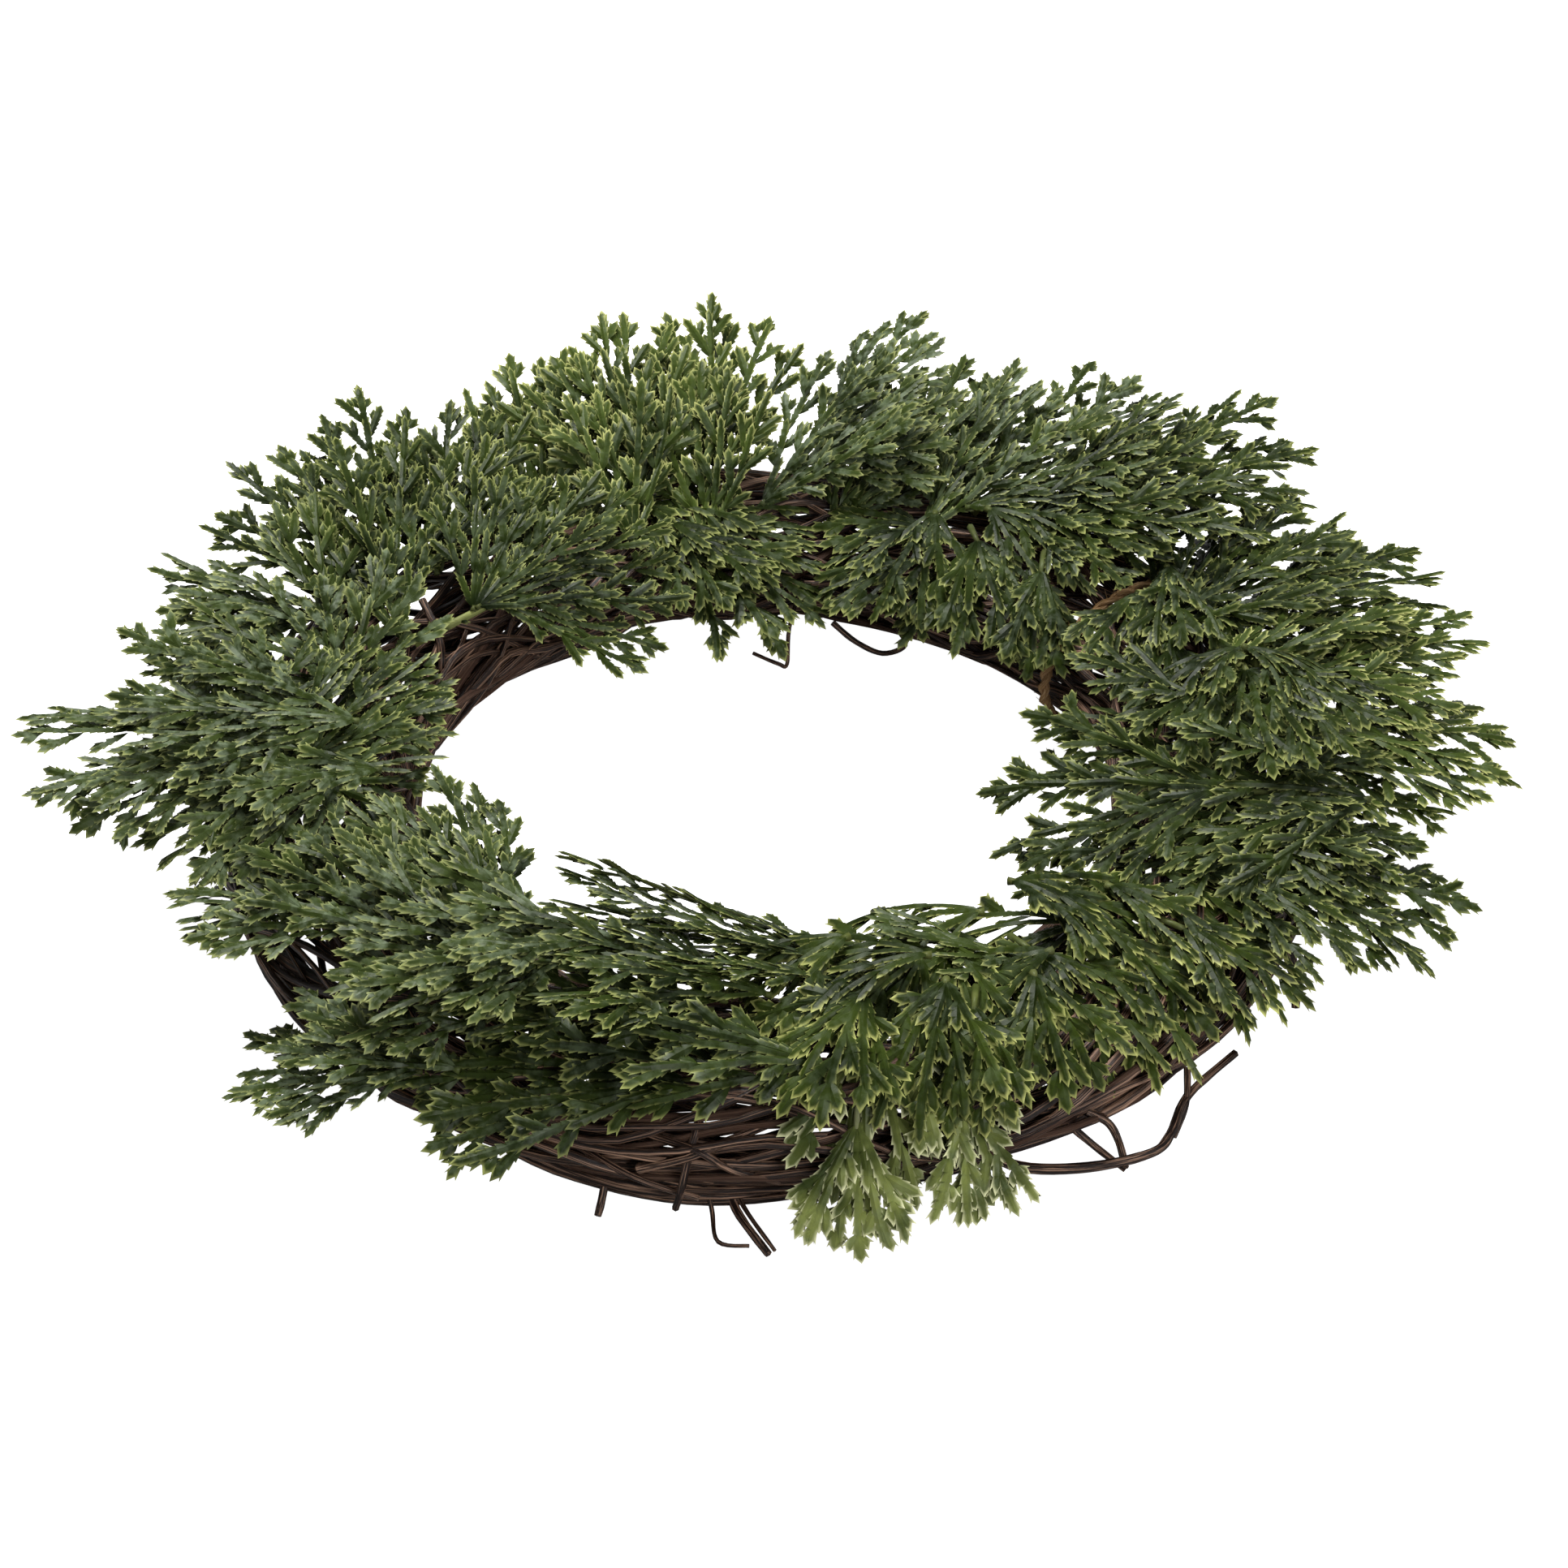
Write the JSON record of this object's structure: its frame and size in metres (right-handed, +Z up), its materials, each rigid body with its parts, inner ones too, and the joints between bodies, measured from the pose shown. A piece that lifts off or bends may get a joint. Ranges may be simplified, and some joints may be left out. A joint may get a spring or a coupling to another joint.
{
  "type": "cedar candle ring",
  "caption": "Round twig ring dressed with flat fan-shaped cedar sprays, lying on a table with an open middle for a candle or hurricane glass.",
  "frame": {"origin": "on the table, on the axis of the candle opening, which is the middle of the whole ring's outline from above", "axes": "+Z up out of the candle opening, +X along the wide way across the foliage, -Y towards the side with the bare low front vines"},
  "size_m": [0.311, 0.263, 0.063],
  "materials": {
    "cedar": "moulded green cedar with paler edges, satin",
    "grapevine": "dark brown bark, dull",
    "jute": "raw hairy twine"
  },
  "bodies": {
    "root": {"jute_tie": "jute", "spray_behind_fan": "cedar", "spray_front_fan": "cedar", "spray_front_hanging": "cedar", "spray_front_hanging_right": "cedar", "spray_front_inner": "cedar", "spray_front_left": "cedar", "spray_front_left_crown": "cedar", "spray_front_left_wide": "cedar", "spray_front_mid": "cedar", "spray_front_right_fan": "cedar", "spray_front_right_side": "cedar", "spray_front_short": "cedar", "spray_great_fan": "cedar", "spray_hanging_rear": "cedar", "spray_hanging_side": "cedar", "spray_left_crown": "cedar", "spray_left_front": "cedar", "spray_left_front_outer": "cedar", "spray_left_inner": "cedar", "spray_left_rear": "cedar", "spray_left_side": "cedar", "spray_left_small": "cedar", "spray_left_wide": "cedar", "spray_rear_inner": "cedar", "spray_rear_left": "cedar", "spray_rear_left_inner": "cedar", "spray_rear_left_second": "cedar", "spray_rear_left_tall": "cedar", "spray_rear_mid": "cedar", "spray_rear_right": "cedar", "spray_rear_right_second": "cedar", "spray_rear_slim": "cedar", "spray_rear_small": "cedar", "spray_rear_tall": "cedar", "spray_right_crown": "cedar", "spray_right_inner": "cedar", "spray_right_inner_rear": "cedar", "spray_right_low": "cedar", "spray_right_rear": "cedar", "spray_right_second": "cedar", "spray_right_wide": "cedar", "spray_umbrella": "cedar", "twig_back_loop": "grapevine", "twig_front_split": "grapevine", "twig_hanging": "grapevine", "twig_long_bent": "grapevine", "vine_base_hoop": "grapevine", "vine_inner_1": "grapevine", "vine_inner_2": "grapevine", "vine_inner_3": "grapevine", "vine_inner_4": "grapevine", "vine_outer_1": "grapevine", "vine_outer_2": "grapevine", "vine_outer_3": "grapevine", "vine_outer_4": "grapevine", "vine_outer_5": "grapevine", "vine_outer_6": "grapevine", "vine_outer_7": "grapevine", "vine_outer_8": "grapevine"}
  },
  "joints": []
}
